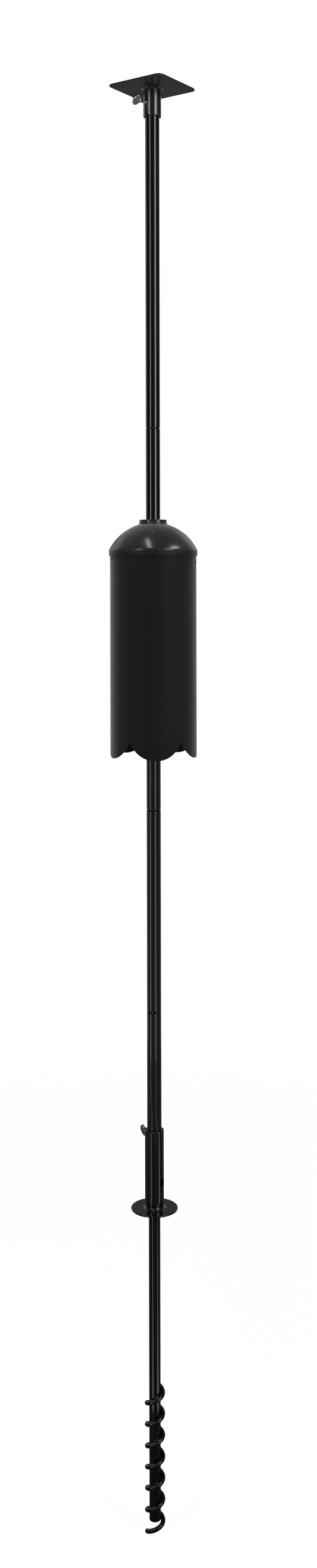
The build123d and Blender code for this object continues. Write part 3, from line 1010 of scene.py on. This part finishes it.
@dataclass
class Baffle:
    """Dome and shroud that hang on the swivel ring."""

    dome_r: float = 87.0
    dome_wall: float = 2.5
    skirt_r: float = 78.47
    skirt_inner_r: float = 76.7
    neck_r: float = 24.3
    neck_bore_r: float = 21.9
    bead_r: float = 25.2
    bead_height: float = 1.6
    bead_shoulder: float = 0.6
    neck_height: float = 8.0
    centre_z: float = 1131.6
    skirt_height: float = 10.0
    ridge_drop: float = 1.2
    shroud_r: float = 76.5
    shroud_wall: float = 1.6
    petal_count: int = 5
    petal_depth: float = 34.0
    petal_heading: float = -86.6
    slot_width: float = 10.0
    slot_height: float = 12.0
    slot_drop: float = 0.8
    slot_headings: tuple = (-13.0, 167.0)
    hook_wall: float = 2.2
    hook_gap: float = 0.25
    hook_side_gap: float = 0.3
    hook_root: float = 0.5
    barb_recess: float = 0.6
    barb_slope: float = 2.0
    notch_margin: float = 14.0
    dome_columns: int = 160
    dome_rows: tuple = (40, 30)
    hook_columns: int = 7
    foot_rows: int = 14
    foot_bunching: float = 1.5
    level_rows: tuple = (16, 4, 5)
    columns: int = 240

    def sphere_z(self, sphere_r: float, r: Union[float, np.ndarray]) -> Union[float, np.ndarray]:
        """Height of a sphere about the dome's centre at a distance from the pole's axis."""
        return self.centre_z + np.sqrt(sphere_r**2 - np.asarray(r, float) ** 2)

    def skirt(self) -> Skin:
        """Upright skirt below the dome's ridge.

        Formula: a closed rectangular section, turned about the pole.

        Returns:
            The skirt's skin.
        """
        top_z = float(self.sphere_z(self.dome_r, self.skirt_r))
        bottom_z = top_z - self.skirt_height
        ridge_z = top_z - self.ridge_drop
        section = np.array([
            (self.skirt_inner_r, bottom_z), (self.skirt_r, bottom_z), (self.skirt_r, ridge_z),
            (self.skirt_inner_r, ridge_z),
        ])
        return Skin(turned(section, self.dome_columns), closed_rows=True)

    def dome(self) -> Skin:
        """Dome with its neck and ridge.

        Formula: a closed section of straight runs and two arcs about the dome's centre, turned
        about the pole.

        Returns:
            The dome's skin.
        """
        inner_r = self.dome_r - self.dome_wall
        ridge_z = float(self.sphere_z(self.dome_r, self.skirt_r)) - self.ridge_drop
        neck_base_z = self.sphere_z(self.dome_r, self.neck_r)
        outer = np.linspace(self.skirt_r, self.bead_r, self.dome_rows[0])
        inner = np.linspace(self.neck_bore_r, self.skirt_inner_r, self.dome_rows[1])
        section = np.concatenate([
            [[self.skirt_inner_r, ridge_z], [self.skirt_r, ridge_z]],
            np.stack([outer, self.sphere_z(self.dome_r, outer)], -1),
            [
                [self.bead_r, neck_base_z + self.bead_height],
                [self.neck_r, neck_base_z + self.bead_height + self.bead_shoulder],
                [self.neck_r, neck_base_z + self.neck_height],
                [self.neck_bore_r, neck_base_z + self.neck_height],
            ],
            np.stack([inner, self.sphere_z(inner_r, inner)], -1),
        ])
        return Skin(turned(section, self.dome_columns), closed_rows=True)

    def hook(self, heading: float) -> Skin:
        """One of the dome's two hooks, which reach down inside the shroud and into its slots.

        Formula: a closed section turned through the hook's width, with flat ends.

        Args:
            heading: The way the hook points, in degrees.

        Returns:
            The hook's skin.
        """
        slot_top, slot_bottom = self.slot_span()
        outer_r = self.shroud_r - self.shroud_wall - self.hook_gap
        inner_r = outer_r - self.hook_wall
        root_z = self.sphere_z(self.dome_r - self.dome_wall, inner_r) + self.hook_root
        barb_r = self.shroud_r - self.barb_recess
        slope_z = slot_bottom + self.barb_slope
        barb_z = slot_top - self.barb_slope
        section = np.array([
            (inner_r, root_z), (inner_r, slot_bottom), (outer_r, slot_bottom), (outer_r, slope_z),
            (barb_r, slope_z + self.barb_slope), (barb_r, barb_z), (outer_r, barb_z),
            (outer_r, root_z),
        ])
        half = (0.5 * self.slot_width - self.hook_side_gap) / self.shroud_r
        turn = math.radians(heading) + np.linspace(-half, half, self.hook_columns)
        points = helix(section[:, :1], section[:, 1:], turn)
        return Skin(points, closed_rows=True, closed_columns=False, capped=True)

    def slot_span(self) -> tuple:
        """Heights of the slots' upper and lower edges."""
        top = self.sphere_z(self.dome_r, self.skirt_r) - self.skirt_height - self.slot_drop
        return top, top - self.slot_height

    def shroud(self) -> Skin:
        """Tube whose lower edge is cut into rounded petals, with two slots.

        Formula: at each angle, the lower edge is a circle's arc over the distance from the petal's
        middle, and the rows between it and a level line above the notches are shared out by a
        power. Above that line the rows are level. Cells inside a slot are left out.

        Returns:
            The tube's outer skin.
        """
        low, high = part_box("baffle_shroud")
        tip_z, top_z = low.z / MM, high.z / MM
        half_turn = 180 / self.petal_count
        half_arc = math.radians(half_turn) * self.shroud_r
        round_r = (half_arc**2 + self.petal_depth**2) / (2 * self.petal_depth)
        half_slot = math.degrees(0.5 * self.slot_width / self.shroud_r)
        special = [self.petal_heading + half_turn * (2 * i + 1) for i in range(self.petal_count)]
        special += [at + side * half_slot for at in self.slot_headings for side in (-1, 1)]
        even = np.arange(self.columns) * 360 / self.columns
        turn = np.unique(np.round(np.concatenate([even, np.array(special) % 360]), 4))
        from_petal = (turn - self.petal_heading + half_turn) % (2 * half_turn) - half_turn
        along = np.radians(np.abs(from_petal)) * self.shroud_r
        edge = tip_z + round_r - np.sqrt(round_r**2 - np.minimum(along, half_arc) ** 2)
        level_z = tip_z + self.petal_depth + self.notch_margin
        slot_top, slot_bottom = self.slot_span()
        share = (np.linspace(0.0, 1.0, self.foot_rows) ** self.foot_bunching)[:, None]
        foot = edge + share * (level_z - edge)
        stops = (level_z, slot_bottom, slot_top, top_z)
        levels = np.concatenate([
            np.linspace(*span, count)[1:]
            for *span, count in zip(stops[:-1], stops[1:], self.level_rows)
        ])
        z = np.concatenate([foot, levels[:, None] + 0 * turn], 0)
        middle = (turn + 0.5 * ((np.roll(turn, -1) - turn) % 360)) % 360
        gap = [np.abs((middle - at + 180) % 360 - 180) < half_slot for at in self.slot_headings]
        middle_z = 0.5 * (z[1:, 0] + z[:-1, 0])
        inside = (middle_z > slot_bottom) & (middle_z < slot_top)
        left_out = np.outer(inside, np.logical_or(*gap))
        return Skin(helix(self.shroud_r, z, np.radians(turn)), left_out=left_out)

    def build(self, workshop: Workshop) -> None:
        """Makes the dome with its hooks, its skirt and the shroud.

        Args:
            workshop: The workshop that dresses them.
        """
        hooks = [self.hook(heading) for heading in self.slot_headings]
        dome = make_piece("dome_with_hooks", [self.dome(), *hooks], bevel=0.7)
        workshop.stand_in(dome, "baffle_dome")
        # The skirt wears a darker copy of the dome plastic, whose darker colour is painted shade.
        skirt = make_piece("dome_skirt", [self.skirt()], bevel=0.3)
        workshop.stand_in(skirt, "baffle_dome", finish=SHADED_SKIRT_FINISH)
        shroud = make_piece("petal_shroud", [self.shroud()], bevel=0.45, wall=self.shroud_wall)
        workshop.stand_in(shroud, "baffle_shroud")


# ---- Studio ----


def area_light(name: str, width: float, height: float, level: float) -> Object:
    """Rectangular lamp that the camera doesn't see.

    Args:
        name: The lamp's name.
        width: Its first side.
        height: Its second side.
        level: Radiance of its face, where 1 is white.

    Returns:
        The lamp, at the origin.
    """
    data = bpy.data.lights.new(name, "AREA")
    data.shape = "RECTANGLE"
    data.size = width
    data.size_y = height
    data.energy = level * math.pi * width * height
    lamp = add_object(name, data)
    lamp.visible_camera = False
    return lamp


@dataclass
class Lamp:
    """One soft box that faces the pole's axis at a height: lengths in metres, angles in degrees."""

    name: str
    azimuth: float
    width: float
    height: float
    level: float
    aim_z: float
    elevation: float = 0.0
    spread: float = 180.0
    roll: float = 0.0
    distance: float = 2.6

    def build(self) -> None:
        """Makes the lamp."""
        lamp = area_light(self.name, self.width, self.height, self.level)
        lamp.data.spread = math.radians(self.spread)
        turn, lift = math.radians(self.azimuth), math.radians(self.elevation)
        flat = self.distance * math.cos(lift)
        away = (flat * math.sin(turn), -flat * math.cos(turn), self.distance * math.sin(lift))
        lamp.location = Vector((0.0, 0.0, self.aim_z)) + Vector(away)
        lamp.rotation_euler = (math.pi / 2 - lift, 0.0, turn)
        lamp.rotation_euler.rotate_axis("Z", math.radians(self.roll))


@dataclass
class FloorStrip:
    """Narrow lamp that lies on the floor and runs away from the pole, which mirrors it."""

    name: str
    azimuth: float
    start: float
    length: float
    width: float
    level: float
    lift: float = 0.004

    def build(self, floor_z: float) -> None:
        """Makes the strip.

        Args:
            floor_z: Height that the strip lies a little above.
        """
        strip = area_light(self.name, self.width, self.length, self.level)
        strip.data.diffuse_factor = 0.0
        turn = math.radians(self.azimuth)
        middle = self.start + 0.5 * self.length
        strip.location = (middle * math.sin(turn), -middle * math.cos(turn), floor_z + self.lift)
        strip.rotation_euler = (math.pi, 0.0, turn)


@dataclass
class Studio:
    """Floor, lamps, world and camera.

    The tall lamps and the floor's strips give the pole its upright lines of light, and the two high
    ones give the dome its streaks.
    """

    view_distance: float = 2.7
    frame_height: float = 2.785
    aim: tuple = (0.0094, 0.0, 0.754)
    camera_z: float = 1.12
    roll: float = 0.12
    floor_r: float = 30.0
    floor_gap: float = 0.0005
    floor_sides: int = 64
    white_from: float = 1.2
    white_by: float = 3.0
    floor_shade: float = 0.16
    floor_lift: float = 0.94
    far_mirrored: float = 0.12
    room_level: float = 0.05
    back_level: float = 0.1
    back_heading: tuple = (-0.28, 0.96, 0.0)
    back_limits: tuple = (0.25, 0.6)
    lamps: tuple = (
        Lamp("key_high", azimuth=45.0, width=1.0, height=2.4, level=4.6, aim_z=2.1),
        Lamp("key_low", azimuth=28.0, width=0.9, height=1.45, level=1.7, aim_z=0.175),
        Lamp("strip_high", azimuth=-39.0, width=0.6, height=2.4, level=4.2, aim_z=2.1),
        Lamp("strip_low", azimuth=-56.0, width=0.6, height=1.45, level=2.4, aim_z=0.175),
        Lamp("rim", azimuth=-132.0, width=1.6, height=3.6, level=0.6, aim_z=1.3),
        Lamp("back", azimuth=145.0, width=1.2, height=3.6, level=0.5, aim_z=1.3),
        Lamp("high_left", azimuth=-22.0, width=0.14, height=1.5, level=1.7, aim_z=1.16,
             elevation=66.0, spread=50.0, roll=30.0),
        Lamp("high_right", azimuth=72.0, width=0.8, height=0.2, level=1.5, aim_z=1.16,
             elevation=44.0, spread=40.0, roll=-12.0),
    )
    strips: tuple = (
        FloorStrip("strip_left_near", -38.0, start=0.4, length=1.75, width=0.22, level=1.9),
        FloorStrip("strip_left_far", -58.0, start=2.2, length=0.6, width=0.3, level=1.5),
        FloorStrip("strip_right_near", 63.0, start=0.4, length=1.6, width=0.22, level=2.4),
        FloorStrip("strip_right_far", 26.0, start=2.0, length=0.75, width=0.36, level=0.8),
    )

    def camera(self) -> None:
        """Level camera in front of the pole, whose frame has the given height at the pole's axis.

        The lens is shifted down from the camera's own height to the middle of the frame, so the
        pole stays upright.
        """
        data = bpy.data.cameras.new("camera")
        data.sensor_width = 36.0
        data.lens = data.sensor_width * self.view_distance / self.frame_height
        data.shift_y = (self.aim[2] - self.camera_z) / self.frame_height
        data.clip_end = 200.0
        camera = add_object("camera", data)
        camera.location = (self.aim[0], -self.view_distance, self.camera_z)
        camera.rotation_euler = (math.pi / 2, 0.0, 0.0)
        camera.rotation_euler.rotate_axis("Z", math.radians(-self.roll))
        bpy.context.scene.camera = camera

    def world(self) -> None:
        """Dim even room, white to the camera and paler behind the object in its reflections."""
        room = Recipe(bpy.data.worlds.new("room"))
        bpy.context.scene.world = room.owner
        place = room.node("ShaderNodeTexCoord", {}, {}, "Generated")
        inputs = {0: place, 1: self.back_heading}
        facing = room.node("ShaderNodeVectorMath", {"operation": "DOT_PRODUCT"}, inputs, "Value")
        behind = room.band(facing, *self.back_limits)
        mirrored = room.ray("Glossy") + room.ray("Transmission")
        share = room.ray("Camera") + mirrored * behind * self.back_level
        colour = room.blend(share, grey(self.room_level), grey(1.0))
        sky = room.node("ShaderNodeBackground", {}, {"Color": colour})
        room.node("ShaderNodeOutputWorld", {}, {"Surface": sky})

    def floor(self) -> None:
        """Pale round floor under the lowest point, which turns plain white away from the object."""
        mesh = bpy.data.meshes.new("floor")
        low_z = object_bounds()[0].z - self.floor_gap
        points = helix(self.floor_r, low_z, round_turn(self.floor_sides))
        mesh.from_pydata(points.tolist(), [], [list(range(self.floor_sides))])
        add_object("floor", mesh)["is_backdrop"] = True
        recipe = Recipe(bpy.data.materials.new("pale_floor"))
        inputs = {0: recipe.place()}
        away = recipe.node("ShaderNodeVectorMath", {"operation": "LENGTH"}, inputs, "Value")
        seen = recipe.ray("Camera") + recipe.ray("Transmission")
        far = recipe.band(away, self.white_from, self.white_by)
        plain = recipe.node("ShaderNodeBsdfDiffuse", {}, {"Color": grey(self.floor_shade)})
        lift = recipe.node("ShaderNodeEmission", {}, {"Color": grey(self.floor_lift)})
        lifted = recipe.node("ShaderNodeAddShader", {}, {0: plain, 1: lift})
        white = recipe.node("ShaderNodeEmission", {}, {"Color": grey(1.0)})
        near = recipe.node("ShaderNodeMixShader", {}, {0: seen, 1: plain, 2: lifted})
        share = far * (seen + recipe.ray("Glossy") * self.far_mirrored)
        mixed = recipe.node("ShaderNodeMixShader", {}, {0: share, 1: near, 2: white})
        recipe.node("ShaderNodeOutputMaterial", {}, {"Surface": mixed})
        mesh.materials.append(recipe.owner)

    def build(self) -> None:
        """Sets up the whole studio."""
        bpy.context.scene.view_settings.view_transform = "Standard"
        self.camera()
        self.world()
        self.floor()
        for lamp in self.lamps:
            lamp.build()
        for strip in self.strips:
            strip.build(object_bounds()[0].z)


def main() -> None:
    """Builds the object's looks in order and reports each piece."""
    logging.basicConfig(level=logging.INFO, format="%(name)s: %(message)s")
    workshop = Workshop()
    GroundAnchor().build(workshop)
    PlatformMount().build(workshop)
    BaffleSpring().build(workshop)
    Baffle().build(workshop)
    # The plate's finish is a lighter copy of the black coat, whose lighter colour is painted light.
    workshop.dress_rest({"platform_socket": PLATFORM_SOCKET_FINISH, "platform_plate": LIT_PLATE_FINISH})
    Studio().build()


if __name__ == "__main__":
    main()
